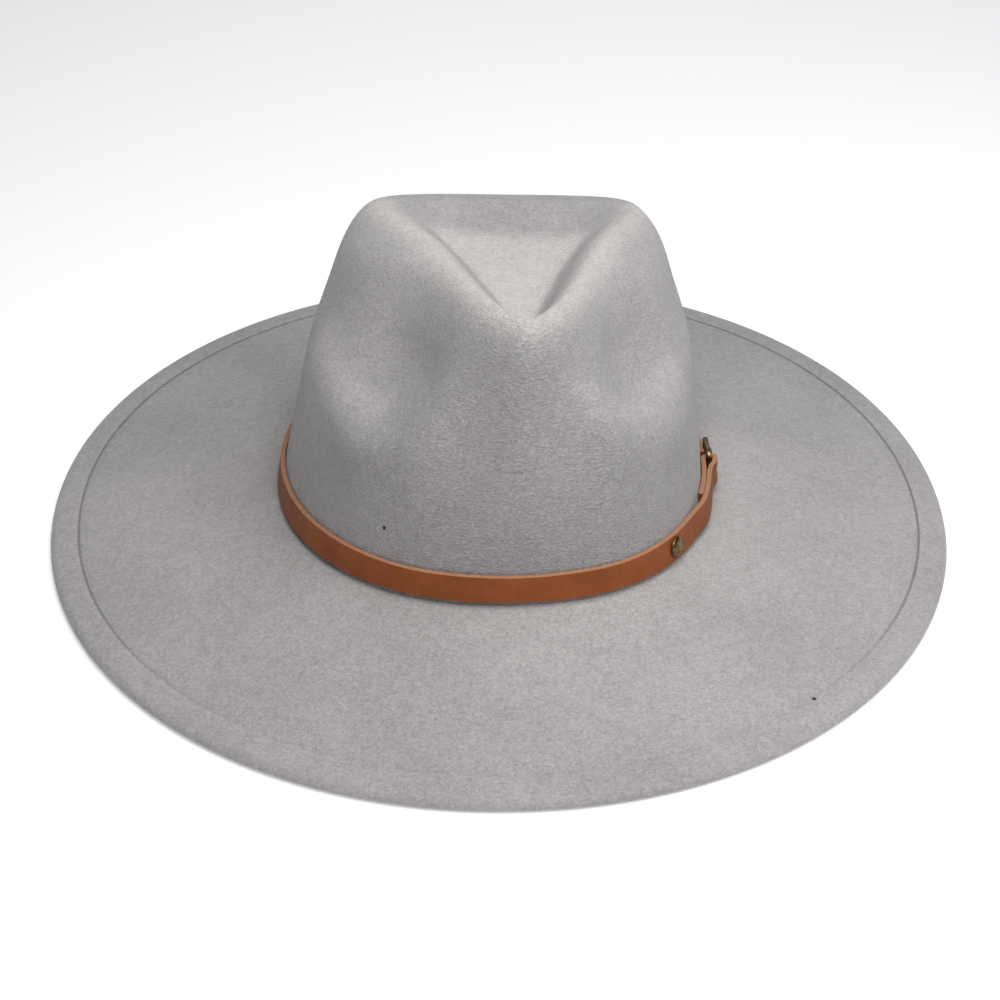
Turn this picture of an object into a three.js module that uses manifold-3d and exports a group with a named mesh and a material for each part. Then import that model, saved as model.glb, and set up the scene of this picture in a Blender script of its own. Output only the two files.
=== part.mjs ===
// Wide-brim felt fedora with a thin leather band and a small side buckle, standing on its brim.
// Millimetres, +Z up, the front of the hat towards -Y, the origin under the middle of the brim.
import * as THREE from 'three';
import { mergeVertices } from 'three/addons/utils/BufferGeometryUtils.js';
import Module from 'manifold-3d';

// The brim.
const brimHalfWidth = 179.2;
const brimHalfLength = 187.3;
const brimSquareness = 2.03;
const feltWall = 2.2;
const hemWidth = 12;
const hemThickness = 4.6;
const hemRounding = 2;
const hemGroove = 0.5;
const hemGrooveHalf = 1.7;
const hemLip = 0.25;
const restingFlat = 3.6;
// How straight the brim rises from the hem to the crown: 1 is a plain cone.
const brimFlatness = 0.75;

// The head opening, measured outside the felt where the crown meets the brim.
const crownForward = 8;
const crownHalfLength = 100;
const crownLeftHalf = 85.8;
const crownRightHalf = 78.6;
const crownLeftSquareness = 2.14;
const crownRightSquareness = 2.4;
const crownLeftBackSquareness = 1.95;
const crownRightBackSquareness = 2.2;
const breakHeight = 22.3;
const breakSlope = 0.083;
const breakRadius = 2.4;
const filletShare = 0.3;

// The crown: how high its front peak stands over the break, and the crest line round its top.
const crownHeight = 108.6;
const crestHalfWidth = 49;
const crestHalfLength = 72.8;
const crestShift = 5.5;
const crestBack = 3.8;
const crestTilt = 0.045;
const hollowDepth = 15.4;

// The band: a long strap whose right end folds back on itself round the buckle's bar.
const strapWidth = 9.8;
const strapThickness = 1.8;
const strapAboveFillet = 0.6;
const fittingClearance = 0.3;
const foldBackLength = 30;
const foldBlend = 9;
const liftLength = 20;
const tongueGap = 2;
const strapStep = 7;
const slotPlay = 0.5;
const slotPast = 1.5;

// The buckle, its prong and the rivet.
const buckleAngle = 85;
const buckleLength = 14;
const buckleHeight = 12.6;
const buckleBar = 2;
const buckleBevel = 0.5;
const buckleCorner = 2.4;
const barClearance = 0.45;
const prongDiameter = 1.4;
const eyeClearance = 0.4;
const prongTip = 1.2;
const rivetAngle = 46;
const rivetDiameter = 7.8;
const rivetHeadHeight = 1.3;
const rivetShankDiameter = 2.6;

// The rounded outer edge of the brim: inward in shares of the hem's rounding, height in shares of
// its thickness.
const edgeRows = [
  { inward: 0, height: 0.5 },
  { inward: 0.3, height: 0.8 },
];
const underEdge = { inward: 0.3, height: 0.2 };

// Where rings of points run round the brim: on the hem, and between its groove and the crown.
const hemPlaces = [0.35, 0.62, 0.86];
const brimPlaces = [0, 0.14, 0.3, 0.46, 0.62, 0.77, 0.9, 0.97];

// Each row is one height up the wall, as a share of the way from the break to the crest. The other
// columns are the share of the way in from the break line to the crest line: at the front, the left,
// the right and the back of the crown, and in the two side pinches.
const wallRows = [
  { height: 0, front: 0, left: 0, right: 0, back: 0, pinch: 0 },
  { height: 0.06, front: 0.025, left: 0.02, right: 0.003, back: 0.02, pinch: 0.02 },
  { height: 0.14, front: 0.065, left: 0.049, right: 0.009, back: 0.054, pinch: 0.05 },
  { height: 0.24, front: 0.125, left: 0.092, right: 0.015, back: 0.094, pinch: 0.09 },
  { height: 0.35, front: 0.205, left: 0.133, right: 0.03, back: 0.15, pinch: 0.135 },
  { height: 0.45, front: 0.285, left: 0.17, right: 0.06, back: 0.2, pinch: 0.18 },
  { height: 0.51, front: 0.334, left: 0.196, right: 0.078, back: 0.233, pinch: 0.22 },
  { height: 0.56, front: 0.374, left: 0.217, right: 0.095, back: 0.265, pinch: 0.31 },
  { height: 0.61, front: 0.415, left: 0.24, right: 0.115, back: 0.3, pinch: 0.42 },
  { height: 0.68, front: 0.472, left: 0.283, right: 0.162, back: 0.352, pinch: 0.54 },
  { height: 0.75, front: 0.529, left: 0.335, right: 0.219, back: 0.412, pinch: 0.635 },
  { height: 0.82, front: 0.587, left: 0.381, right: 0.266, back: 0.479, pinch: 0.715 },
  { height: 0.89, front: 0.657, left: 0.438, right: 0.323, back: 0.556, pinch: 0.79 },
  { height: 0.945, front: 0.739, left: 0.521, right: 0.405, back: 0.647, pinch: 0.86 },
  { height: 0.982, front: 0.855, left: 0.691, right: 0.599, back: 0.793, pinch: 0.925 },
  { height: 1, front: 1, left: 1, right: 1, back: 1, pinch: 1 },
];

// How far each pinch reaches round the crown from the front, and how much higher its lower lip
// stands there than at its middle, as a share of the wall's height.
const pinchRows = [
  { angle: 0, strength: 0, lift: 0.2 },
  { angle: 8, strength: 0.02, lift: 0.19 },
  { angle: 15, strength: 0.2, lift: 0.16 },
  { angle: 22.5, strength: 0.62, lift: 0.11 },
  { angle: 30, strength: 0.93, lift: 0.05 },
  { angle: 38, strength: 1, lift: 0.01 },
  { angle: 48, strength: 1, lift: 0 },
  { angle: 58, strength: 0.96, lift: 0.01 },
  { angle: 68, strength: 0.86, lift: 0.03 },
  { angle: 78, strength: 0.62, lift: 0.06 },
  { angle: 88, strength: 0.33, lift: 0.1 },
  { angle: 96, strength: 0.12, lift: 0.13 },
  { angle: 104, strength: 0.03, lift: 0.16 },
  { angle: 114, strength: 0, lift: 0.2 },
  { angle: 180, strength: 0, lift: 0.2 },
];

// The crest line by angle from the front: across in shares of the crest's half width, along in
// shares of its half length, rise in shares of the crown height.
const crestRows = [
  { angle: 0, across: 0, along: -1, rise: 1 },
  { angle: 5, across: 0.112, along: -0.938, rise: 1 },
  { angle: 9, across: 0.194, along: -0.865, rise: 0.998 },
  { angle: 14, across: 0.272, along: -0.78, rise: 0.995 },
  { angle: 22.5, across: 0.363, along: -0.645, rise: 0.991 },
  { angle: 45, across: 0.508, along: -0.395, rise: 0.982 },
  { angle: 67, across: 0.59, along: -0.22, rise: 0.973 },
  { angle: 88, across: 0.665, along: -0.064, rise: 0.963 },
  { angle: 104, across: 0.745, along: 0.08, rise: 0.951 },
  { angle: 118, across: 0.865, along: 0.24, rise: 0.936 },
  { angle: 132, across: 1, along: 0.45, rise: 0.914 },
  { angle: 139, across: 1.015, along: 0.56, rise: 0.9 },
  { angle: 146, across: 0.95, along: 0.64, rise: 0.888 },
  { angle: 153, across: 0.795, along: 0.69, rise: 0.878 },
  { angle: 162, across: 0.54, along: 0.715, rise: 0.871 },
  { angle: 171, across: 0.27, along: 0.722, rise: 0.866 },
  { angle: 180, across: 0, along: 0.724, rise: 0.864 },
];

// The edge of the teardrop floor, in the same shares, with its depth below the crest as a share
// of the hollow's depth.
const floorRows = [
  { angle: 0, across: 0, along: -0.85, depth: 0.52 },
  { angle: 5, across: 0.03, along: -0.82, depth: 0.6 },
  { angle: 9, across: 0.045, along: -0.77, depth: 0.72 },
  { angle: 14, across: 0.058, along: -0.7, depth: 0.86 },
  { angle: 22.5, across: 0.08, along: -0.59, depth: 0.96 },
  { angle: 45, across: 0.15, along: -0.38, depth: 1 },
  { angle: 67, across: 0.235, along: -0.2, depth: 0.96 },
  { angle: 88, across: 0.32, along: -0.022, depth: 0.9 },
  { angle: 104, across: 0.4, along: 0.115, depth: 0.82 },
  { angle: 118, across: 0.465, along: 0.25, depth: 0.73 },
  { angle: 132, across: 0.5, along: 0.38, depth: 0.58 },
  { angle: 139, across: 0.485, along: 0.45, depth: 0.48 },
  { angle: 146, across: 0.445, along: 0.51, depth: 0.4 },
  { angle: 153, across: 0.38, along: 0.545, depth: 0.33 },
  { angle: 162, across: 0.27, along: 0.565, depth: 0.27 },
  { angle: 171, across: 0.14, along: 0.572, depth: 0.235 },
  { angle: 180, across: 0, along: 0.574, depth: 0.22 },
];

// The slope from the crest down to the teardrop floor: inward and down, as shares of the way.
const hollowRows = [
  { inward: 0.16, down: 0.03 },
  { inward: 0.34, down: 0.16 },
  { inward: 0.53, down: 0.42 },
  { inward: 0.71, down: 0.71 },
  { inward: 0.86, down: 0.91 },
  { inward: 1, down: 1 },
];

// The stretch of the floor's length that its middle line takes up, and where rings run to it.
const floorSpine = [0.08, 0.86];
const floorPlaces = [0.4, 0.78];

// The front and back shapes of the wall blend into its sides between these cosines of the angle
// from the front, and the left into the right within these sines of it.
const frontBlend = [0.1, 1];
const backBlend = [0.45, 1];
const sideBlend = [-0.5, 0.5];

const columns = 64;
const frontCrowding = 0.22;
const crownCentre = -crownForward;

// Reads one column of a table at a place between its rows, with a smooth curve through the rows.
function readTable(rows, key, column, place) {
  let k = 1;
  while (k < rows.length - 1 && rows[k][key] < place) k += 1;
  const a = rows[k - 1];
  const b = rows[k];
  const before = rows[Math.max(k - 2, 0)];
  const after = rows[Math.min(k + 1, rows.length - 1)];
  const span = b[key] - a[key];
  const t = THREE.MathUtils.clamp((place - a[key]) / span, 0, 1);
  const slopeA = ((b[column] - before[column]) / (b[key] - before[key])) * span;
  const slopeB = ((after[column] - a[column]) / (after[key] - a[key])) * span;
  const rise = b[column] - a[column];
  return a[column] + t * (slopeA + t * (3 * rise - 2 * slopeA - slopeB + t * (slopeA + slopeB - 2 * rise)));
}

// A rounded oval: the angle runs from the front to the right, and the power is its squareness.
function ovalPoint(angle, half, halfLength, power) {
  const side = Math.sin(angle);
  const ahead = Math.cos(angle);
  const x = half * Math.sign(side) * Math.abs(side) ** (2 / power);
  const y = -halfLength * Math.sign(ahead) * Math.abs(ahead) ** (2 / power);
  return new THREE.Vector2(x, y);
}

function brimOutline(angle) {
  return ovalPoint(angle, brimHalfWidth, brimHalfLength, brimSquareness);
}

// The head opening is squarer in front on the right, where the band's buckle sits.
function breakOutline(angle) {
  const left = Math.sin(angle) < 0;
  const half = left ? crownLeftHalf : crownRightHalf;
  const frontSquareness = left ? crownLeftSquareness : crownRightSquareness;
  const backSquareness = left ? crownLeftBackSquareness : crownRightBackSquareness;
  const behind = Math.cos(angle) < 0;
  const p = ovalPoint(angle, half, crownHalfLength, behind ? backSquareness : frontSquareness);
  p.y += crownCentre;
  return p;
}

// The outward direction, seen from above, of a closed outline given as a function of the angle.
function outward(outline, angle) {
  const step = 0.01;
  const a = outline(angle - step);
  const b = outline(angle + step);
  return new THREE.Vector2(b.y - a.y, a.x - b.x).normalize();
}

// Height of the top of the brim where it turns up into the crown.
function breakPlane(y) {
  return breakHeight - breakSlope * (y - crownCentre);
}

function degreesFromFront(angle) {
  return Math.abs(THREE.MathUtils.radToDeg(Math.atan2(Math.sin(angle), Math.cos(angle))));
}

function crestPoint(angle) {
  const d = degreesFromFront(angle);
  const side = Math.sign(Math.sin(angle));
  const x = crestShift + side * crestHalfWidth * readTable(crestRows, 'angle', 'across', d);
  const y = crownCentre + crestBack + crestHalfLength * readTable(crestRows, 'angle', 'along', d);
  const level = breakHeight + crownHeight * readTable(crestRows, 'angle', 'rise', d);
  const z = level - crestTilt * (x - crestShift);
  return new THREE.Vector3(x, y, z);
}

function floorPoint(angle) {
  const d = degreesFromFront(angle);
  const side = Math.sign(Math.sin(angle));
  const x = crestShift + side * crestHalfWidth * readTable(floorRows, 'angle', 'across', d);
  const y = crownCentre + crestBack + crestHalfLength * readTable(floorRows, 'angle', 'along', d);
  const z = crestPoint(angle).z - hollowDepth * readTable(floorRows, 'angle', 'depth', d);
  return new THREE.Vector3(x, y, z);
}

// Height of the teardrop floor along its middle, read off its edge at the same distance back.
function floorHeight(y) {
  let near = floorPoint(0);
  for (const row of floorRows) {
    const next = floorPoint(THREE.MathUtils.degToRad(row.angle));
    if (next.y >= y) {
      return THREE.MathUtils.mapLinear(y, near.y, next.y + 1e-9, near.z, next.z);
    }
    near = next;
  }
  return near.z;
}

// A point on the outside of the crown wall, at a share of the height from the break to the crest.
function wallPoint(angle, height) {
  const foot = breakOutline(angle);
  const footHeight = breakPlane(foot.y) + breakRadius;
  const crest = crestPoint(angle);
  const ahead = Math.cos(angle);
  const front = THREE.MathUtils.smoothstep(ahead, ...frontBlend);
  const back = THREE.MathUtils.smoothstep(-ahead, ...backBlend);
  const right = THREE.MathUtils.smoothstep(Math.sin(angle), ...sideBlend);
  const side =
    right * readTable(wallRows, 'height', 'right', height) +
    (1 - right) * readTable(wallRows, 'height', 'left', height);
  const plain =
    front * readTable(wallRows, 'height', 'front', height) +
    back * readTable(wallRows, 'height', 'back', height) +
    (1 - front - back) * side;
  const pinch = readTable(pinchRows, 'angle', 'strength', degreesFromFront(angle));
  const lift = readTable(pinchRows, 'angle', 'lift', degreesFromFront(angle));
  // The lift is greatest half way up and nothing at the foot and at the crest.
  const pinchHeight = height - 4 * lift * height * (1 - height);
  const pinched = readTable(wallRows, 'height', 'pinch', pinchHeight);
  const inward = THREE.MathUtils.lerp(plain, pinched, pinch);
  return new THREE.Vector3(
    THREE.MathUtils.lerp(foot.x, crest.x, inward),
    THREE.MathUtils.lerp(foot.y, crest.y, inward),
    THREE.MathUtils.lerp(footHeight, crest.z, height),
  );
}

// Where the brim ends and the fillet to the crown starts.
function brimFoot(angle) {
  return breakOutline(angle).add(outward(breakOutline, angle).multiplyScalar(breakRadius));
}

// The top of the brim, a distance in from the edge at one angle. It falls from the break to the
// edge a little faster near the crown than near the edge.
function brimTop(angle, inward) {
  const edge = brimOutline(angle);
  const foot = brimFoot(angle);
  const t = inward / edge.distanceTo(foot);
  const x = THREE.MathUtils.lerp(edge.x, foot.x, t);
  const y = THREE.MathUtils.lerp(edge.y, foot.y, t);
  const rise = breakPlane(foot.y) - hemThickness;
  const share = brimFlatness * t + (1 - brimFlatness) * t * t;
  return new THREE.Vector3(x, y, hemThickness + rise * share);
}

function brimWidth(angle) {
  return brimOutline(angle).distanceTo(brimFoot(angle));
}

const angles = [];
for (let i = 0; i < columns; i += 1) {
  const turn = (2 * Math.PI * i) / columns;
  angles.push(turn - frontCrowding * Math.sin(turn));
}

function ring(make) {
  return angles.map(make);
}

function lowered(point, drop) {
  point.z -= drop;
  return point;
}

function edgePoint(angle, row) {
  const p = brimTop(angle, row.inward * hemRounding);
  p.z = row.height * hemThickness;
  return p;
}

// Closed rings of points from the edge of the brim, over the brim and the crown, to the teardrop.
function topRings() {
  const rings = [];
  for (const row of edgeRows) {
    rings.push(ring((angle) => edgePoint(angle, row)));
  }
  rings.push(ring((angle) => brimTop(angle, hemRounding)));
  for (const share of hemPlaces) {
    rings.push(ring((angle) => brimTop(angle, share * hemWidth)));
  }
  rings.push(ring((angle) => lowered(brimTop(angle, hemWidth), hemGroove)));
  const free = hemWidth + hemGrooveHalf;
  for (const share of brimPlaces) {
    rings.push(ring((angle) => brimTop(angle, free + share * (brimWidth(angle) - free))));
  }
  // The fillet where the brim turns up into the crown.
  rings.push(
    ring((angle) => {
      const foot = breakOutline(angle);
      const out = outward(breakOutline, angle).multiplyScalar(filletShare * breakRadius);
      const height = breakPlane(foot.y) + filletShare * breakRadius;
      return new THREE.Vector3(foot.x + out.x, foot.y + out.y, height);
    }),
  );
  for (const row of wallRows) {
    rings.push(ring((angle) => wallPoint(angle, row.height)));
  }
  for (const row of hollowRows) {
    rings.push(
      ring((angle) => {
        const crest = crestPoint(angle);
        const floor = floorPoint(angle);
        const p = crest.clone().lerp(floor, row.inward);
        p.z = THREE.MathUtils.lerp(crest.z, floor.z, row.down);
        return p;
      }),
    );
  }
  // The floor closes in on a line down its middle.
  for (const share of floorPlaces) {
    rings.push(
      ring((angle) => {
        const p = floorPoint(angle);
        const front = floorPoint(0);
        const back = floorPoint(Math.PI);
        const along = THREE.MathUtils.inverseLerp(front.y, back.y, p.y);
        const place = THREE.MathUtils.lerp(floorSpine[0], floorSpine[1], along);
        const y = THREE.MathUtils.lerp(front.y, back.y, place);
        return p.lerp(new THREE.Vector3(crestShift, y, floorHeight(y)), share);
      }),
    );
  }
  return rings;
}

// The direction out of the felt at every point of the rings, from the neighbours round about.
function ringNormals(rings) {
  return rings.map((points, j) =>
    points.map((point, i) => {
      const round = points[(i + 1) % columns].clone().sub(points[(i + columns - 1) % columns]);
      const below = rings[Math.max(j - 1, 0)][i];
      const above = rings[Math.min(j + 1, rings.length - 1)][i];
      return round.cross(above.clone().sub(below)).normalize();
    }),
  );
}

// The underside of the felt: a flattened resting ring, the cut edge of the hem, then the inside
// of the brim and crown one wall away from the outside.
function undersideRings(top) {
  const rings = [ring((angle) => edgePoint(angle, underEdge))];
  for (const inward of [hemRounding, hemRounding + restingFlat]) {
    rings.push(
      ring((angle) => {
        const p = brimTop(angle, inward);
        p.z = 0;
        return p;
      }),
    );
  }
  rings.push(ring((angle) => lowered(brimTop(angle, hemWidth), hemThickness)));
  rings.push(ring((angle) => lowered(brimTop(angle, hemWidth + hemLip), feltWall + hemGroove)));
  // Past the hem the inside follows the outside, ring by ring.
  const normals = ringNormals(top);
  const firstFree = edgeRows.length + hemPlaces.length + 2;
  for (let j = firstFree; j < top.length; j += 1) {
    rings.push(top[j].map((p, i) => p.clone().addScaledVector(normals[j][i], -feltWall)));
  }
  return rings;
}

// Joins rings into a surface; with the flag set the faces look the other way.
function joinRings(positions, indices, rings, inside) {
  const base = positions.length / 3;
  for (const points of rings) {
    for (const p of points) positions.push(p.x, p.y, p.z);
  }
  for (let j = 0; j < rings.length - 1; j += 1) {
    for (let i = 0; i < columns; i += 1) {
      const next = (i + 1) % columns;
      const a = base + j * columns + i;
      const b = base + j * columns + next;
      const c = base + (j + 1) * columns + next;
      const d = base + (j + 1) * columns + i;
      if (inside) indices.push(a, c, b, a, d, c);
      else indices.push(a, b, c, a, c, d);
    }
  }
  // The last ring is long and narrow: it closes straight across.
  const last = base + (rings.length - 1) * columns;
  for (let i = 0; i < columns / 2; i += 1) {
    const a = last + i;
    const b = last + i + 1;
    const c = last + ((columns - i - 1) % columns);
    const d = last + ((columns - i) % columns);
    if (i > 0) {
      if (inside) indices.push(a, d, b);
      else indices.push(a, b, d);
    }
    if (i + 1 < columns / 2) {
      if (inside) indices.push(b, d, c);
      else indices.push(b, c, d);
    }
  }
  return base;
}

function feltGeometry() {
  const top = topRings();
  const under = undersideRings(top);
  const positions = [];
  const indices = [];
  const topBase = joinRings(positions, indices, top, false);
  const underBase = joinRings(positions, indices, under, true);
  for (let i = 0; i < columns; i += 1) {
    const next = (i + 1) % columns;
    const a = topBase + i;
    const b = topBase + next;
    const c = underBase + next;
    const d = underBase + i;
    indices.push(a, c, b, a, d, c);
  }
  const geometry = new THREE.BufferGeometry();
  geometry.setAttribute('position', new THREE.Float32BufferAttribute(positions, 3));
  geometry.setIndex(indices);
  geometry.computeVertexNormals();
  return geometry;
}

// A point beside the crown wall at band level: up from the foot of the strap, out from the felt.
function besideWall(angle, up, out) {
  const foot = breakOutline(angle);
  const crest = crestPoint(angle);
  const footHeight = breakPlane(foot.y) + breakRadius;
  const p = wallPoint(angle, (strapAboveFillet + up) / (crest.z - footHeight));
  const away = outward(breakOutline, angle);
  return new THREE.Vector3(p.x + away.x * out, p.y + away.y * out, p.z);
}

// The angle reached by going a distance round the break line; a negative distance goes back.
function angleAlong(start, distance) {
  const step = 0.002 * Math.sign(distance);
  let angle = start;
  let gone = 0;
  let from = breakOutline(angle);
  while (gone < Math.abs(distance)) {
    angle += step;
    const to = breakOutline(angle);
    gone += from.distanceTo(to);
    from = to;
  }
  return angle;
}

const lying = fittingClearance + strapThickness / 2;
const doubled = lying + strapThickness + fittingClearance;
const foldRadius = buckleBar / 2 + barClearance + strapThickness / 2;
const barOut = lying + foldRadius;
const buckleStart = THREE.MathUtils.degToRad(buckleAngle);

// Axes lying on the band between two angles: x forward along it, y out from the felt, z up it.
function bandBasis(ahead, behind, at, out) {
  const mid = strapWidth / 2;
  const x = besideWall(ahead, mid, out).sub(besideWall(behind, mid, out)).normalize();
  const rise = besideWall(at, strapWidth, out).sub(besideWall(at, 0, out));
  const y = rise.cross(x).normalize();
  const z = x.clone().cross(y).normalize();
  const basis = new THREE.Matrix4().makeBasis(x, y, z);
  basis.setPosition(besideWall(at, mid, out));
  return basis;
}

function buckleBasis() {
  return bandBasis(buckleStart, angleAlong(buckleStart, buckleLength), buckleStart, barOut);
}

// The middle line of the strap at its lower and its upper edge, from the folded end to the tongue.
function strapPath() {
  const path = [];
  const place = (angle, out) =>
    path.push({ low: besideWall(angle, 0, out), high: besideWall(angle, strapWidth, out) });
  const basis = buckleBasis();
  const fold = (turn) => {
    const x = -foldRadius * Math.sin(turn);
    const y = -foldRadius * Math.cos(turn);
    path.push({
      low: new THREE.Vector3(x, y, -strapWidth / 2).applyMatrix4(basis),
      high: new THREE.Vector3(x, y, strapWidth / 2).applyMatrix4(basis),
    });
  };
  const foldSteps = 6;
  for (let k = 0; k < foldSteps; k += 1) {
    place(angleAlong(buckleStart, -foldBackLength * (1 - k / foldSteps)), lying);
  }
  const turnSteps = 8;
  for (let k = 0; k <= turnSteps; k += 1) fold((k * Math.PI) / turnSteps);
  const outerOut = barOut + foldRadius;
  for (const share of [0.3, 0.65, 1]) {
    const eased = THREE.MathUtils.smoothstep(share, 0, 1);
    place(angleAlong(buckleStart, -share * foldBlend), THREE.MathUtils.lerp(outerOut, doubled, eased));
  }
  place(angleAlong(buckleStart, -(foldBlend + foldBackLength) / 2), doubled);
  place(angleAlong(buckleStart, -foldBackLength), doubled);
  for (const share of [0.25, 0.5, 0.75, 1]) {
    const eased = THREE.MathUtils.smoothstep(share, 0, 1);
    place(
      angleAlong(buckleStart, -foldBackLength - fittingClearance - liftLength * share),
      THREE.MathUtils.lerp(doubled, lying, eased),
    );
  }
  // On round the front, the left and the back to the tongue beyond the fold.
  let angle = angleAlong(buckleStart, -foldBackLength - fittingClearance - liftLength);
  const tongue = buckleBar / 2 + fittingClearance + strapThickness + tongueGap;
  const end = angleAlong(buckleStart, tongue) - 2 * Math.PI;
  let next = angleAlong(angle, -strapStep);
  const shortest = (0.3 * strapStep) / crownHalfLength;
  while (next > end + shortest) {
    place(next, lying);
    angle = next;
    next = angleAlong(angle, -strapStep);
  }
  place(end, lying);
  return path;
}

// A closed body from four-cornered sections along the strap's path.
function strapGeometry() {
  const path = strapPath();
  const positions = [];
  const indices = [];
  path.forEach((point, k) => {
    const before = path[Math.max(k - 1, 0)].low;
    const after = path[Math.min(k + 1, path.length - 1)].low;
    const side = new THREE.Vector3(after.y - before.y, before.x - after.x, 0).normalize();
    side.multiplyScalar(strapThickness / 2);
    for (const corner of [
      point.low.clone().sub(side),
      point.low.clone().add(side),
      point.high.clone().add(side),
      point.high.clone().sub(side),
    ]) {
      positions.push(corner.x, corner.y, corner.z);
    }
  });
  for (let k = 0; k < path.length - 1; k += 1) {
    for (let c = 0; c < 4; c += 1) {
      const a = 4 * k + c;
      const b = 4 * k + ((c + 1) % 4);
      indices.push(a, a + 4, b, b, a + 4, b + 4);
    }
  }
  const last = 4 * (path.length - 1);
  indices.push(0, 1, 2, 0, 2, 3, last, last + 2, last + 1, last, last + 3, last + 2);
  const geometry = new THREE.BufferGeometry();
  geometry.setAttribute('position', new THREE.Float32BufferAttribute(positions, 3));
  geometry.setIndex(indices);
  return geometry;
}

// The solid that manifold-3d cuts and joins, from a three.js geometry placed by a matrix.
const wasm = await Module();
wasm.setup();

function toSolid(geometry, matrix) {
  const plain = new THREE.BufferGeometry();
  plain.setAttribute('position', geometry.getAttribute('position').clone());
  if (geometry.index) plain.setIndex(geometry.index.clone());
  if (matrix) plain.applyMatrix4(matrix);
  const merged = mergeVertices(plain, 1e-4);
  return new wasm.Manifold(
    new wasm.Mesh({
      numProp: 3,
      vertProperties: new Float32Array(merged.getAttribute('position').array),
      triVerts: new Uint32Array(merged.index.array),
    }),
  );
}

function toGeometry(solid) {
  const mesh = solid.getMesh();
  const geometry = new THREE.BufferGeometry();
  geometry.setAttribute('position', new THREE.BufferAttribute(new Float32Array(mesh.vertProperties), 3));
  geometry.setIndex(new THREE.BufferAttribute(new Uint32Array(mesh.triVerts), 1));
  geometry.computeVertexNormals();
  return geometry;
}

// The axes of the rivet, whose middle stands on the felt.
function rivetBasis() {
  const angle = THREE.MathUtils.degToRad(rivetAngle);
  const reach = rivetDiameter / 2;
  return bandBasis(angleAlong(angle, -reach), angleAlong(angle, reach), angle, 0);
}

// The strap with the slot where the prong turns and the hole that the rivet passes through.
function cutStrapGeometry() {
  const foldDepth = foldRadius + strapThickness / 2;
  const slotHeight = prongDiameter + 2 * (fittingClearance + slotPlay / 2);
  const slotLength = 2 * (foldDepth + slotPast);
  const slot = new THREE.BoxGeometry(slotLength, 3 * foldDepth, slotHeight);
  const holeRadius = rivetShankDiameter / 2 + fittingClearance;
  const hole = new THREE.CylinderGeometry(holeRadius, holeRadius, 4 * strapThickness, 16);
  return toGeometry(
    toSolid(strapGeometry())
      .subtract(toSolid(slot, buckleBasis()))
      .subtract(toSolid(hole, rivetBasis())),
  );
}

// A flat oblong frame with rounded corners and softened edges; its near bar is the pivot.
function frameGeometry() {
  const outer = new THREE.Shape();
  const grow = buckleBar / 2 - buckleBevel;
  oblong(outer, -buckleLength - grow, grow, buckleHeight / 2 + grow, buckleCorner);
  const hole = new THREE.Path();
  const holeHalf = buckleHeight / 2 - grow;
  oblong(hole, grow - buckleLength, -grow, holeHalf, buckleCorner - buckleBar / 2);
  outer.holes.push(hole);
  const depth = buckleBar - 2 * buckleBevel;
  const geometry = new THREE.ExtrudeGeometry(outer, {
    depth,
    bevelEnabled: true,
    bevelThickness: buckleBevel,
    bevelSize: buckleBevel,
    bevelSegments: 1,
    curveSegments: 4,
  });
  geometry.translate(0, 0, -depth / 2);
  geometry.rotateX(Math.PI / 2);
  return geometry;
}

function oblong(path, left, right, half, radius) {
  path.moveTo(left + radius, -half);
  path.lineTo(right - radius, -half);
  path.quadraticCurveTo(right, -half, right, -half + radius);
  path.lineTo(right, half - radius);
  path.quadraticCurveTo(right, half, right - radius, half);
  path.lineTo(left + radius, half);
  path.quadraticCurveTo(left, half, left, half - radius);
  path.lineTo(left, -half + radius);
  path.quadraticCurveTo(left, -half, left + radius, -half);
}

// The prong: an eye round the pivot bar and a straight rod that lies on the far bar.
function prongGeometry() {
  const wire = prongDiameter / 2;
  const eyeRadius = buckleBar / 2 + eyeClearance + wire;
  const eye = new THREE.TorusGeometry(eyeRadius, wire, 8, 12);
  const start = new THREE.Vector3(0, eyeRadius, 0);
  const end = new THREE.Vector3(
    -buckleLength - buckleBar / 2 - prongTip,
    buckleBar / 2 + fittingClearance + wire,
    0,
  );
  const rod = new THREE.CylinderGeometry(wire, wire, start.distanceTo(end), 10);
  const along = end.clone().sub(start).normalize();
  const turn = new THREE.Quaternion().setFromUnitVectors(new THREE.Vector3(0, 1, 0), along);
  const middle = start.clone().lerp(end, 0.5);
  const place = new THREE.Matrix4().compose(middle, turn, new THREE.Vector3(1, 1, 1));
  return toGeometry(toSolid(eye).add(toSolid(rod, place)));
}

// The rivet: a shank through the strap under a low domed head.
function rivetGeometry() {
  const shank = rivetShankDiameter / 2;
  const head = rivetDiameter / 2;
  const seat = strapThickness + 2 * fittingClearance;
  const profile = [
    new THREE.Vector2(0, fittingClearance),
    new THREE.Vector2(shank, fittingClearance),
    new THREE.Vector2(shank, seat),
    new THREE.Vector2(head, seat),
    new THREE.Vector2(head, seat + 0.3 * rivetHeadHeight),
    new THREE.Vector2(0.84 * head, seat + 0.68 * rivetHeadHeight),
    new THREE.Vector2(0.52 * head, seat + 0.92 * rivetHeadHeight),
    new THREE.Vector2(0, seat + rivetHeadHeight),
  ];
  return new THREE.LatheGeometry(profile, 16);
}

const hat = new THREE.Group();

const felt = new THREE.MeshStandardMaterial({ color: 0xa5a1a1, roughness: 0.95, metalness: 0 });
const feltBody = new THREE.Mesh(feltGeometry(), felt);
feltBody.name = 'felt_body';
hat.add(feltBody);

const leather = new THREE.MeshStandardMaterial({ color: 0x8a4f28, roughness: 0.55, metalness: 0 });
const strap = new THREE.Mesh(cutStrapGeometry(), leather);
strap.name = 'band_strap';
hat.add(strap);

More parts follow.
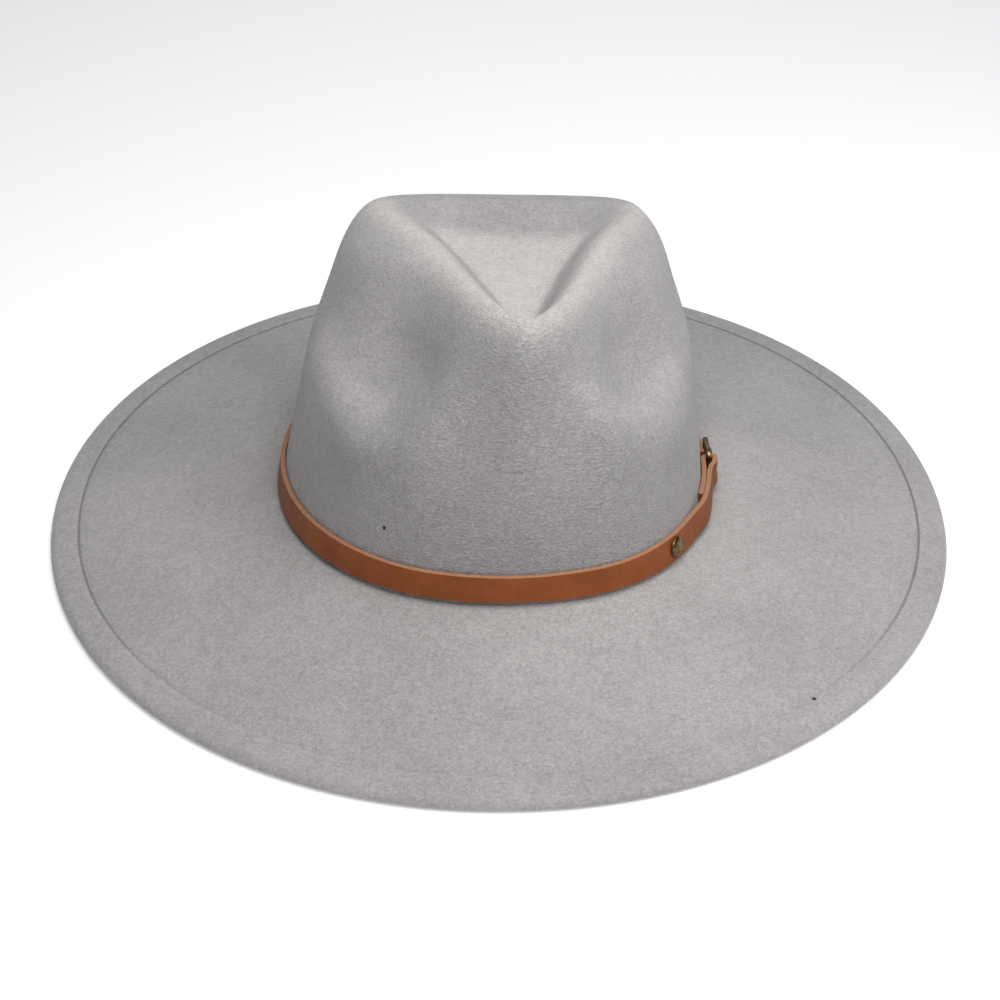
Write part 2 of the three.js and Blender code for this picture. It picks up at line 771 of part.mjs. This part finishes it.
const brass = new THREE.MeshStandardMaterial({ color: 0x6e5a3c, roughness: 0.4, metalness: 0.9 });
const buckle = new THREE.Group();
buckleBasis().decompose(buckle.position, buckle.quaternion, buckle.scale);
const frame = new THREE.Mesh(frameGeometry(), brass);
frame.name = 'buckle_frame';
buckle.add(frame);
const prong = new THREE.Mesh(prongGeometry(), brass);
prong.name = 'buckle_prong';
buckle.add(prong);
hat.add(buckle);

const rivet = new THREE.Mesh(rivetGeometry(), brass);
rivet.name = 'band_rivet';
rivetBasis().decompose(rivet.position, rivet.quaternion, rivet.scale);
hat.add(rivet);

export default hat;
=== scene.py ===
# %% [markdown]
# # A grey wide-brim fedora with a thin leather band
#
# This lesson dresses a finished solid model of a felt hat. The solid model gives every piece its
# place and size. Here each piece gets the smooth form, the worn edges and the surface that wool
# felt, tan leather and old brass really have. The hat lies on its brim on a pale table, and the
# camera stands where the photographer stood.

# %% Load the solid model
import math

import bpy
from mathutils import Matrix, Vector
from mathutils.kdtree import KDTree


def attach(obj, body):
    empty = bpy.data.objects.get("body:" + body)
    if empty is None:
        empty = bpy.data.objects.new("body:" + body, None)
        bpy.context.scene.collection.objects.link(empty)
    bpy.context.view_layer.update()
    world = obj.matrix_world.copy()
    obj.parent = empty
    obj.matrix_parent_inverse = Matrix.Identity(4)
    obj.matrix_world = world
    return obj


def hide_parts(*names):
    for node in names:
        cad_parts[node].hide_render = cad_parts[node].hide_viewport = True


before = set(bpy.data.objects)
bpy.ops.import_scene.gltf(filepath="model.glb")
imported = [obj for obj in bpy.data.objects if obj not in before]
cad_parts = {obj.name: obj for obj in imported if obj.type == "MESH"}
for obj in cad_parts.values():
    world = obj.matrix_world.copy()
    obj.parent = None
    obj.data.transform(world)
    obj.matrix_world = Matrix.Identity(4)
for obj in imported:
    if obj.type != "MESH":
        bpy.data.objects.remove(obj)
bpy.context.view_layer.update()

millimetre = 0.001
print("solid pieces:", sorted(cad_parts))

# %% [markdown]
# ## Working by hand in a script
#
# An operator works on whatever is selected, so every step starts from a clean selection. A copy
# of a solid arrives as loose triangles. Its corners are welded and its triangles are paired into
# four-sided faces, because those subdivide into an even, flowing surface.

# %% Helpers for selecting and finishing


def pick(piece):
    """Leaves one object selected and active."""
    bpy.ops.object.select_all(action="DESELECT")
    piece.select_set(True)
    bpy.context.view_layer.objects.active = piece


def copy_of(node, name):
    """A free, welded copy of one solid, ready to be shaped."""
    pick(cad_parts[node])
    bpy.ops.object.duplicate()
    piece = bpy.context.active_object
    for key in list(piece.keys()):
        del piece[key]
    piece.parent = None
    piece.matrix_world = Matrix.Identity(4)
    piece.name = name
    piece.data.name = name
    piece.data.materials.clear()
    bpy.ops.object.mode_set(mode="EDIT")
    bpy.ops.mesh.select_all(action="SELECT")
    bpy.ops.mesh.remove_doubles(threshold=0.01 * millimetre)
    bpy.ops.mesh.customdata_custom_splitnormals_clear()
    bpy.ops.object.mode_set(mode="OBJECT")
    return piece


def pair_triangles(piece, flat, shape):
    """Joins triangles into four-sided faces, up to a fold and a skew in degrees."""
    pick(piece)
    bpy.ops.object.mode_set(mode="EDIT")
    bpy.ops.mesh.select_all(action="SELECT")
    bpy.ops.mesh.tris_convert_to_quads(
        face_threshold=math.radians(flat),
        shape_threshold=math.radians(shape),
    )
    bpy.ops.object.mode_set(mode="OBJECT")


def finish_with(piece, kind, **settings):
    """Adds one modifier with its settings and applies it."""
    pick(piece)
    modifier = piece.modifiers.new(kind.lower(), kind)
    for key, value in settings.items():
        setattr(modifier, key, value)
    bpy.ops.object.modifier_apply(modifier=modifier.name)


def choose(piece, test):
    """Opens a piece for editing, with the corners chosen whose place in millimetres passes a test."""
    pick(piece)
    bpy.ops.object.mode_set(mode="EDIT")
    bpy.ops.mesh.select_mode(type="VERT")
    bpy.ops.mesh.select_all(action="DESELECT")
    bpy.ops.object.mode_set(mode="OBJECT")
    for corner in piece.data.vertices:
        corner.select = test(*(corner.co / millimetre))
    bpy.ops.object.mode_set(mode="EDIT")


def crease_chosen(strength):
    """Creases the edges between the chosen corners and closes the piece again."""
    bpy.ops.transform.edge_crease(value=strength)
    bpy.ops.object.mode_set(mode="OBJECT")


def within(middle, reach):
    """A test for corners that lie near a point, in millimetres."""
    return lambda x, y, z: (Vector((x, y, z)) - Vector(middle)).length < reach


def report(piece):
    """Prints how big a piece came out, in millimetres and triangles."""
    triangles = sum(len(face.vertices) - 2 for face in piece.data.polygons)
    size = [round(side / millimetre, 1) for side in piece.dimensions]
    print(f"{piece.name}: {size} mm, {triangles} triangles")


# %% [markdown]
# ## The felt body
#
# Crown and brim are one piece of wool felt, steamed over a block and pressed by hand into a
# teardrop on top and a pinch on each side. Felt bends in soft curves. The solid already has the
# right folds, so the body starts as a copy of it.
#
# The ridges round the teardrop are relaxed a little first, as steamed felt is. Two rows of edges
# are creased before the facets are rounded away: the groove of the hem, where the felt meets
# itself in a sharp line, and the flat ring underneath that the hat rests on.

# %% Felt body from the solid
felt_hat = copy_of("felt_body", "felt_hat")
pair_triangles(felt_hat, flat=60, shape=80)
report(felt_hat)

# %% Relax the ridges of the crown
relaxed_above = 92
choose(felt_hat, lambda x, y, z: z > relaxed_above)
print("corners relaxed:", felt_hat.data.total_vert_sel)
bpy.ops.mesh.vertices_smooth(factor=0.5, repeat=1)
bpy.ops.object.mode_set(mode="OBJECT")

# %% [markdown]
# The thumb and fingers that pinch the crown leave a deeper hollow above a rounded lip on each
# side of the front. A soft push moves the felt round a point in or out, and fades with distance.

# %% Press the two pinches
presses = [
    {"at": (-40, -55, 94), "push": (4.2, 4.2, 0), "reach": 23},
    {"at": (50, -53, 94), "push": (-4.0, 4.2, 0), "reach": 23},
    {"at": (-52, -62, 73), "push": (-1.8, -2.0, 0), "reach": 15},
    {"at": (58, -58, 73), "push": (1.8, -2.0, 0), "reach": 15},
]
fingertip = 9
for press in presses:
    choose(felt_hat, within(press["at"], fingertip))
    print("corners pressed:", felt_hat.data.total_vert_sel)
    bpy.ops.transform.translate(
        value=Vector(press["push"]) * millimetre,
        use_proportional_edit=True,
        proportional_edit_falloff="SMOOTH",
        proportional_size=press["reach"] * millimetre,
    )
    bpy.ops.object.mode_set(mode="OBJECT")

# %% Crease the groove of the hem and the resting ring
brim_half_width = 179.2
brim_half_length = 187.3
brim_squareness = 2.03


def brim_share(x, y):
    """How far out a point lies on the brim: 0 in the middle, 1 on the edge."""
    across = abs(x / brim_half_width) ** brim_squareness
    along = abs(y / brim_half_length) ** brim_squareness
    return (across + along) ** (1 / brim_squareness)


def in_groove(x, y, z):
    """True for corners along the groove, on the upper side of the brim."""
    return z > 3.5 and 0.929 < brim_share(x, y) < 0.939


choose(felt_hat, in_groove)
print("corners in the groove:", felt_hat.data.total_vert_sel)
crease_chosen(0.85)
table_level = 0.01
choose(felt_hat, lambda x, y, z: z < table_level)
print("corners in the resting ring:", felt_hat.data.total_vert_sel)
crease_chosen(1.0)

# %% Round the facets away
finish_with(felt_hat, "SUBSURF", levels=2, render_levels=2)
pick(felt_hat)
bpy.ops.object.shade_smooth()
report(felt_hat)

# %% [markdown]
# ## The leather strap
#
# The band is one long strap cut from tan leather. Its end folds back round the bar of the buckle.
# Cut leather has softly rounded corners, so the copy gets a narrow bevel along its sharp edges.

# %% Strap with rounded corners
leather_strap = copy_of("band_strap", "leather_strap")
pair_triangles(leather_strap, flat=2, shape=120)
finish_with(
    leather_strap,
    "BEVEL",
    width=0.32 * millimetre,
    segments=3,
    limit_method="ANGLE",
    angle_limit=math.radians(40),
)
# The fold keeps its facets; the rest of the strap is rounded once more.
fold_middle = (82, -20, 31)
fold_reach = 9
choose(leather_strap, within(fold_middle, fold_reach))
crease_chosen(1.0)
finish_with(leather_strap, "SUBSURF", levels=1, render_levels=1)
pick(leather_strap)
bpy.ops.object.shade_smooth_by_angle(angle=math.radians(35))
report(leather_strap)

# %% [markdown]
# ## Buckle, prong and rivet
#
# The hardware is brass and small. Each piece keeps the size of its solid and gets rounder edges.

# %% Brass pieces
brass_names = {
    "buckle_frame": "brass_frame",
    "buckle_prong": "brass_prong",
    "band_rivet": "brass_rivet",
}
brass_pieces = []
for node, name in brass_names.items():
    piece = copy_of(node, name)
    pair_triangles(piece, flat=20, shape=100)
    finish_with(
        piece,
        "BEVEL",
        width=0.12 * millimetre,
        segments=2,
        limit_method="ANGLE",
        angle_limit=math.radians(35),
    )
    pick(piece)
    bpy.ops.object.shade_smooth_by_angle(angle=math.radians(40))
    report(piece)
    brass_pieces.append(piece)

# %% [markdown]
# ## Materials are built from nodes
#
# Small helpers add a node, fill in its plain values and link the rest, so that each recipe
# below reads from top to bottom.

# %% Helpers for nodes


def new_material(name):
    """An empty material with its surface shader and output."""
    material = bpy.data.materials.new(name)
    material.use_nodes = True
    tree = material.node_tree
    tree.nodes.clear()
    output = tree.nodes.new("ShaderNodeOutputMaterial")
    shader = tree.nodes.new("ShaderNodeBsdfPrincipled")
    tree.links.new(shader.outputs["BSDF"], output.inputs["Surface"])
    return material, tree, shader


def add(tree, kind, inputs=None, **settings):
    """One node: settings are its own options, inputs are values or sockets to link from."""
    node = tree.nodes.new("ShaderNode" + kind)
    for key, value in settings.items():
        setattr(node, key, value)
    for key, value in (inputs or {}).items():
        if isinstance(value, bpy.types.NodeSocket):
            tree.links.new(value, node.inputs[key])
        else:
            node.inputs[key].default_value = value
    return node


def maths(tree, operation, *values):
    """One sum on plain values or sockets."""
    node = tree.nodes.new("ShaderNodeMath")
    node.operation = operation
    for socket, value in zip(node.inputs, values):
        if isinstance(value, bpy.types.NodeSocket):
            tree.links.new(value, socket)
        else:
            socket.default_value = value
    return node.outputs[0]


def between(tree, value, low, high, start=0.0, end=1.0):
    """Turns a value between two limits smoothly into one between two others."""
    node = add(
        tree,
        "MapRange",
        {"Value": value, "From Min": low, "From Max": high, "To Min": start, "To Max": end},
        interpolation_type="SMOOTHSTEP",
    )
    return node.outputs["Result"]


# The colour sockets of the mixing node, which has others of the same names for plain values.
factor_socket = 0
first_socket = 6
second_socket = 7
mixed_socket = 2


def blend(tree, factor, first, second, kind="MIX"):
    """Mixes two colours by a factor."""
    node = tree.nodes.new("ShaderNodeMix")
    node.data_type = "RGBA"
    node.blend_type = kind
    for index, value in ((factor_socket, factor), (first_socket, first), (second_socket, second)):
        if isinstance(value, bpy.types.NodeSocket):
            tree.links.new(value, node.inputs[index])
        elif isinstance(value, tuple):
            node.inputs[index].default_value = (*value, 1)
        else:
            node.inputs[index].default_value = value
    return node.outputs[mixed_socket]


def off(tree, value, middle):
    """How far a value lies from a middle one, either way."""
    return maths(tree, "ABSOLUTE", maths(tree, "SUBTRACT", value, middle))


def noise(tree, place, scale, detail, roughness, distortion=0.0):
    """Soft random blots: the scale is how many there are to a metre."""
    inputs = {
        "Vector": place,
        "Scale": scale,
        "Detail": detail,
        "Roughness": roughness,
        "Distortion": distortion,
    }
    return add(tree, "TexNoise", inputs).outputs["Fac"]


def relief(tree, height, strength, distance, under=None):
    """A bump over an earlier one; the distance is the full depth in metres."""
    node = add(tree, "Bump", {"Height": height, "Strength": strength, "Distance": distance})
    if under:
        tree.links.new(under.outputs["Normal"], node.inputs["Normal"])
    return node


def ramp(tree, source, stops):
    """A colour ramp over a value, from a list of places and greys or colours."""
    node = add(tree, "ValToRGB", {"Fac": source})
    node.color_ramp.interpolation = "EASE"
    while len(node.color_ramp.elements) < len(stops):
        node.color_ramp.elements.new(0.5)
    for element, (place, shade) in zip(node.color_ramp.elements, stops):
        element.position = place
        element.color = (*shade, 1) if isinstance(shade, tuple) else (shade, shade, shade, 1)
    return node.outputs["Color"]


# %% [markdown]
# ## Wool felt
#
# Wool felt is matt, with a faint bloom where its fine fibres catch the light, which is what the
# sheen is for. Its grey drifts a little over a hand's width, warmer in front and cooler towards
# the back, where it is also darker as painted shade. Close up it shows a short wormy grain about
# a millimetre long, deepest on the front of the crown and shallow on the brim, and loose fibres
# finer than that.
#
# Three small marks come from the real hat: a soft crease across the front of the crown and two
# black specks. The dark line in the groove of the hem, which fades towards the front, is painted
# shade.
#
# The ridge round the teardrop, its floor and the lips under the pinches look paler than these
# lamps make them. That light is painted into the colour here: a painted highlight along the
# ridge and the lips, and on the floor where it faces up. Part of that may be light alone. Here
# all of it is colour, as if hands had rubbed the nap pale there, which is a guess.

# %% Felt: painted highlight along the ridge and the lips
# One side of the ridge round the teardrop, following the crest of the solid: across from its
# middle, along and up, in millimetres. The other side is its mirror image, moved a little.
ridge_middle = 5.5
ridge_shift_right = 1.5
ridge_half = [
    (0, -77.0, 130.9),
    (5.5, -72.5, 130.9),
    (9.5, -67.2, 130.7),
    (13.3, -61.0, 130.4),
    (17.8, -51.2, 129.9),
    (24.9, -33.0, 128.9),
    (28.9, -20.2, 128.0),
    (32.6, -8.9, 126.9),
    (36.5, 1.6, 125.6),
    (42.4, 13.3, 123.9),
    (49.0, 28.6, 121.6),
    (49.7, 36.6, 120.0),
]
# The lips under the two pinches, each from one end to the other.
right_lip = [
    (25.8, -78.9, 105),
    (31.2, -80.3, 98),
    (43.4, -72.5, 88.6),
    (53.9, -58.4, 86),
    (63.1, -40.1, 88),
]
left_lip = [
    (-67.5, -17.3, 96),
    (-65.0, -35.5, 91),
    (-56.0, -51.3, 87.8),
    (-49.6, -60, 87),
]
steps_between = 8


def walk(corners):
    """Close-set points along a bent line."""
    line = [Vector(corner) for corner in corners]
    points = []
    for first, second in zip(line, line[1:]):
        points += [first.lerp(second, step / steps_between) for step in range(steps_between + 1)]
    return points


def nearby(points):
    """A quick way to look up the nearest of many points."""
    tree = KDTree(len(points))
    for index, point in enumerate(points):
        tree.insert(point, index)
    tree.balance()
    return tree


def fading(points, spot, width):
    """1 on a line and less with the distance from it; the width is in millimetres."""
    _, _, distance = points.find(spot)
    return math.exp(-((distance / width) ** 2))


left_ridge = [(ridge_middle - across, along, up) for across, along, up in ridge_half]
right_middle = ridge_middle + ridge_shift_right
right_ridge = [(right_middle + across, along, up) for across, along, up in ridge_half]
by_ridge = nearby(walk(left_ridge) + walk(right_ridge))
by_lip = nearby(walk(right_lip) + walk(left_lip))
# A painted highlight: 1 on the ridge, less on the lips, fading with the distance from them.
painted_highlight = felt_hat.data.attributes.new("painted_highlight", "FLOAT", "POINT")
ridge_width = 7.5
lip_width = 7.0
lip_highlight_strength = 0.42
highlight_above = 65
for corner in felt_hat.data.vertices:
    spot = corner.co / millimetre
    if spot.z > highlight_above:
        on_line = fading(by_ridge, spot, ridge_width)
        on_lip = lip_highlight_strength * fading(by_lip, spot, lip_width)
        painted_highlight.data[corner.index].value = max(on_line, on_lip)
print("corners of the felt:", len(painted_highlight.data))

# %% Felt: where on the hat
felt, tree, shader = new_material("wool_felt")
where = add(tree, "TexCoord")
place = where.outputs["Object"]
apart = add(tree, "SeparateXYZ", {"Vector": place})
x, y, z = apart.outputs["X"], apart.outputs["Y"], apart.outputs["Z"]
on_crown = between(tree, z, 0.03, 0.045)
in_front = between(tree, y, -0.03, -0.085)
print("nodes that say where:", len(tree.nodes))

# %% Felt: grain, fibres and drift
wormy = add(tree, "Mapping", {"Vector": place, "Scale": (0.75, 1.0, 1.35)}).outputs["Vector"]
drift = noise(tree, place, 18.0, 3.0, 0.5)
mottle = noise(tree, place, 240.0, 3.0, 0.6)
grain = noise(tree, wormy, 900.0, 3.0, 0.6, 0.9)
fibres = noise(tree, place, 2600.0, 2.0, 0.7)
print("nodes with the noises:", len(tree.nodes))

# %% Felt: colour
warm_grey = (0.402, 0.386, 0.384)
cool_shaded_grey = (0.345, 0.353, 0.35)
lilac_grey = (0.385, 0.367, 0.378)
# The pale grey of the painted highlights.
highlight_grey = (0.585, 0.56, 0.54)
# Painted shade: the brim grey turns cooler and darker towards the back.
towards_back = between(tree, y, 0.0, 0.13)
brim_grey_and_shade = blend(tree, towards_back, warm_grey, cool_shaded_grey)
crown_grey = blend(tree, maths(tree, "MULTIPLY", on_crown, 0.8), brim_grey_and_shade, lilac_grey)
drifted = blend(tree, 0.5, crown_grey, ramp(tree, drift, [(0.3, 0.44), (0.7, 0.56)]), "OVERLAY")
print("nodes with the greys:", len(tree.nodes))

# %% Felt: the painted highlights
highlight_on_lines = add(tree, "Attribute", attribute_name="painted_highlight").outputs["Fac"]
facing_up = add(tree, "SeparateXYZ", {"Vector": where.outputs["Normal"]}).outputs["Z"]
# The painted highlight on the floor of the teardrop goes where the felt faces up and is high;
# the floor ends towards the back and is narrow in front.
from_middle = off(tree, x, ridge_middle * millimetre)
floor_half_width = 0.035
floor_widening = 0.41
half_floor = maths(tree, "ADD", maths(tree, "MULTIPLY", y, floor_widening), floor_half_width)
in_hollow = between(tree, maths(tree, "SUBTRACT", half_floor, from_middle), -0.003, 0.004)
before_back = between(tree, y, 0.034, 0.018)
in_hollow = maths(tree, "MULTIPLY", in_hollow, before_back)
facing_the_light = between(tree, facing_up, 0.72, 0.97)
high = between(tree, z, 0.1, 0.112)
floor_highlight = maths(tree, "MULTIPLY", maths(tree, "MULTIPLY", facing_the_light, high), in_hollow)
# Painted highlight: the lines and the floor turn the felt towards the pale grey.
floor_highlight_strength = 0.85
highlight_amount = maths(tree, "MAXIMUM", highlight_on_lines, maths(tree, "MULTIPLY", floor_highlight, floor_highlight_strength))
highlighted_felt = blend(tree, highlight_amount, drifted, highlight_grey)
print("nodes with the rubbed places:", len(tree.nodes))

# %% Felt: mottle and the light tips of the grain
mottled = blend(tree, 0.2, highlighted_felt, ramp(tree, mottle, [(0.3, 0.38), (0.7, 0.62)]), "OVERLAY")
tips = blend(tree, 0.35, mottled, ramp(tree, grain, [(0.32, 0.3), (0.68, 0.7)]), "OVERLAY")
print("nodes with the mottle:", len(tree.nodes))

# %% Felt: painted shade in the hem's groove


def outwards(value, half):
    """One coordinate as a share of half the brim's size, raised to the brim's squareness."""
    part = maths(tree, "ABSOLUTE", maths(tree, "MULTIPLY", value, 1 / (half * millimetre)))
    return maths(tree, "POWER", part, brim_squareness)


across = outwards(x, brim_half_width)
along = outwards(y, brim_half_length)
share = maths(tree, "POWER", maths(tree, "ADD", across, along), 1 / brim_squareness)
groove_line = 0.9345
# A dark line of painted shade along the groove of the hem, fainter towards the front.
groove_shade_grey = (0.09, 0.085, 0.084)
near_groove = between(tree, off(tree, share, groove_line), 0.0045, 0.0012)
fainter_in_front = between(tree, y, -0.15, -0.05, 0.04, 0.6)
groove = maths(tree, "MULTIPLY", near_groove, fainter_in_front)
groove_shaded = blend(tree, groove, tips, groove_shade_grey)
print("nodes with the hem's line:", len(tree.nodes))

# %% Felt: specks
specks = [
    {"at": (-0.0471, -0.0882, 0.0535), "radius": 0.0009},
    {"at": (0.1051, -0.1382, 0.007), "radius": 0.001},
]
speck_black = (0.012, 0.011, 0.011)
speckled = groove_shaded
for speck in specks:
    away = add(tree, "VectorMath", {0: place, 1: speck["at"]}, operation="DISTANCE").outputs["Value"]
    spot = between(tree, away, speck["radius"], 0.6 * speck["radius"])
    speckled = blend(tree, spot, speckled, speck_black)
speckled = blend(tree, 0.22, speckled, ramp(tree, fibres, [(0.35, 0.25), (0.65, 0.75)]), "OVERLAY")
tree.links.new(speckled, shader.inputs["Base Color"])
print("specks:", len(specks))

# %% Felt: relief
# The grain is 0.3 of its full depth on the brim, more on the crown and full on the crown's front.
depth = maths(tree, "ADD", 0.35, maths(tree, "MULTIPLY", in_front, 0.65))
depth = maths(tree, "MULTIPLY", on_crown, depth)
depth = maths(tree, "ADD", 0.3, maths(tree, "MULTIPLY", depth, 0.7))
pebble = maths(tree, "MULTIPLY", grain, depth)
# The crease across the front is highest in its middle and droops towards both ends.
crease_middle = 0.008
crease_level = 0.0815
crease_droop = 0.08
sideways = off(tree, x, crease_middle)
crease_height = maths(tree, "ADD", z, maths(tree, "MULTIPLY", sideways, crease_droop))
crease = between(tree, off(tree, crease_height, crease_level), 0.0016, 0.0)
crease = maths(tree, "MULTIPLY", crease, between(tree, sideways, 0.02, 0.008))
crease = maths(tree, "MULTIPLY", crease, in_front)
fine = relief(tree, fibres, 0.4, 0.0002)
coarse = relief(tree, pebble, 1.0, 0.0011, fine)
folded = relief(tree, crease, 0.5, 0.0006, coarse)
folded.invert = True
tree.links.new(folded.outputs["Normal"], shader.inputs["Normal"])
shader.inputs["Roughness"].default_value = 0.93
shader.inputs["Sheen Weight"].default_value = 0.25
shader.inputs["Sheen Roughness"].default_value = 0.5
shader.inputs["Specular IOR Level"].default_value = 0.2
felt_hat.data.materials.append(felt)
print("felt:", len(tree.nodes), "nodes")

# %% [markdown]
# ## Tan leather
#
# The strap is smooth tan leather. Its face is a warm brown with a low shine, a net of tiny
# creases and a few darker blotches. The cut edges, which face up and down, are paler and rougher.

# %% Leather material
leather, tree, shader = new_material("tan_leather")
spots = add(tree, "TexCoord")
place = spots.outputs["Object"]
facing = add(tree, "SeparateXYZ", {"Vector": spots.outputs["Normal"]}).outputs["Z"]
cut = between(tree, maths(tree, "ABSOLUTE", facing), 0.45, 0.8)
blotch = noise(tree, place, 70.0, 5.0, 0.6)
streak = noise(tree, place, 900.0, 4.0, 0.7)
cells = add(tree, "TexVoronoi", {"Vector": place, "Scale": 1500.0}, feature="DISTANCE_TO_EDGE")
pores = cells.outputs["Distance"]
face_colour = ramp(tree, blotch, [(0.3, (0.25, 0.062, 0.010)), (0.7, (0.32, 0.085, 0.016))])
face_colour = blend(tree, 0.35, face_colour, ramp(tree, streak, [(0.3, 0.4), (0.7, 0.6)]), "OVERLAY")
cut_colour = ramp(tree, streak, [(0.3, (0.34, 0.16, 0.082)), (0.7, (0.44, 0.225, 0.125))])
tree.links.new(blend(tree, cut, face_colour, cut_colour), shader.inputs["Base Color"])
roughness = add(tree, "MapRange", {"Value": cut, "To Min": 0.52, "To Max": 0.85})
tree.links.new(roughness.outputs["Result"], shader.inputs["Roughness"])
rough = relief(tree, streak, 0.25, 0.00015)
grained = relief(tree, pores, 0.3, 0.0001, rough)
tree.links.new(grained.outputs["Normal"], shader.inputs["Normal"])
shader.inputs["Specular IOR Level"].default_value = 0.3
leather_strap.data.materials.append(leather)
print("leather:", len(tree.nodes), "nodes")

# %% [markdown]
# ## Old brass
#
# Antique brass is a dark, warm metal. Tarnish lies on it in blots, and fine scratches break its
# shine.

# %% Brass material
brass, tree, shader = new_material("antique_brass")
place = add(tree, "TexCoord").outputs["Object"]
tarnish = noise(tree, place, 420.0, 5.0, 0.65)
scratches = noise(tree, place, 2400.0, 3.0, 0.7)
brass_colour = ramp(tree, tarnish, [(0.35, (0.11, 0.075, 0.04)), (0.65, (0.38, 0.28, 0.15))])
tree.links.new(brass_colour, shader.inputs["Base Color"])
worn = add(
    tree,
    "MapRange",
    {"Value": scratches, "From Min": 0.3, "From Max": 0.7, "To Min": 0.3, "To Max": 0.5},
)
tree.links.new(worn.outputs["Result"], shader.inputs["Roughness"])
scuffed = relief(tree, scratches, 0.2, 0.0001)
tree.links.new(scuffed.outputs["Normal"], shader.inputs["Normal"])
shader.inputs["Metallic"].default_value = 1.0
for piece in brass_pieces:
    piece.data.materials.append(brass)
print("brass:", len(tree.nodes), "nodes")

# %% [markdown]
# ## Everything rides on the one body
#
# Nothing on the hat moves by itself, so every piece rides on the same body. Each hides the solid
# that it stands for, and a line is printed with that solid and the finish the piece takes.

# %% Ride and replace
wearing = [
    (felt_hat, "felt_body", "felt"),
    (leather_strap, "band_strap", "leather"),
    (brass_pieces[0], "buckle_frame", "antique_brass"),
    (brass_pieces[1], "buckle_prong", "antique_brass"),
    (brass_pieces[2], "band_rivet", "antique_brass"),
]
for piece, node, finish in wearing:
    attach(piece, "root")
    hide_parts(node)
    print(f"{piece.name} stands for {node}, in {finish}")

# %% [markdown]
# ## Table and light
#
# The photograph has a bare white ground and soft light that comes mostly from above, a little
# from the front and the right. A white table that glows faintly, like a photographer's light
# table, a dim even sky and six soft lamps come near it: five from above and one, weak, from
# behind. The plain view setting keeps white white.

# %% Table
bpy.ops.object.select_all(action="DESELECT")
bpy.ops.mesh.primitive_plane_add(size=12.0, location=(0.0, 0.0, 0.0))
table = bpy.context.active_object
table.name = "table_top"
white, _, shader = new_material("white_table")
shader.inputs["Base Color"].default_value = (0.9, 0.9, 0.9, 1)
shader.inputs["Roughness"].default_value = 0.9
shader.inputs["Emission Color"].default_value = (1.0, 1.0, 1.0, 1)
shader.inputs["Emission Strength"].default_value = 0.32
table.data.materials.append(white)
print("table:", list(table.dimensions))

# %% Lights
bpy.context.scene.view_settings.view_transform = "Standard"
world = bpy.data.worlds.new("soft_room")
world.use_nodes = True
world.node_tree.nodes["Background"].inputs["Color"].default_value = (1.0, 1.0, 1.0, 1)
world.node_tree.nodes["Background"].inputs["Strength"].default_value = 0.02
bpy.context.scene.world = world


lamp_side = 0.5
lamp_aim = Vector((0, 0, 0.05))


def soft_lamp(name, place, power):
    """A square lamp that faces the hat, with its power in watts."""
    bpy.ops.object.light_add(type="AREA", location=place)
    lamp = bpy.context.active_object
    lamp.name = name
    lamp.data.shape = "SQUARE"
    lamp.data.size = lamp_side
    lamp.data.energy = power
    direction = lamp_aim - Vector(place)
    lamp.rotation_euler = direction.to_track_quat("-Z", "Y").to_euler()
    print(f"{name}: {power} W at {direction.length:.2f} m")


soft_lamp("lamp_over_front", (0, -0.45, 0.95), 4.7)
soft_lamp("lamp_right_front", (0.6, -0.5, 0.9), 2.6)
soft_lamp("lamp_over_right", (0.45, 0, 0.95), 2.3)
soft_lamp("lamp_overhead", (0, 0, 0.95), 1.9)
soft_lamp("lamp_high_front", (0, -0.9, 1.0), 1.0)
soft_lamp("lamp_behind", (0, 0.95, 0.6), 0.8)

# %% [markdown]
# ## The camera
#
# The lens is a long one about a metre away, looking down on the front of the hat.

# %% Camera
turned = math.radians(-3.7)
raised = math.radians(33.43)
tipped = math.radians(0.18)
bpy.ops.object.camera_add(location=(-0.0534, -0.8369, 0.5592))
camera = bpy.context.active_object
camera.name = "photo_camera"
camera.rotation_euler = (
    Matrix.Rotation(turned, 3, "Z")
    @ Matrix.Rotation(math.pi / 2 - raised, 3, "X")
    @ Matrix.Rotation(tipped, 3, "Z")
).to_euler()
camera.data.lens = 89.64
camera.data.sensor_width = 36.0
bpy.context.scene.camera = camera
print(f"camera: {camera.location.length:.2f} m from the origin, lens {camera.data.lens:.1f} mm")
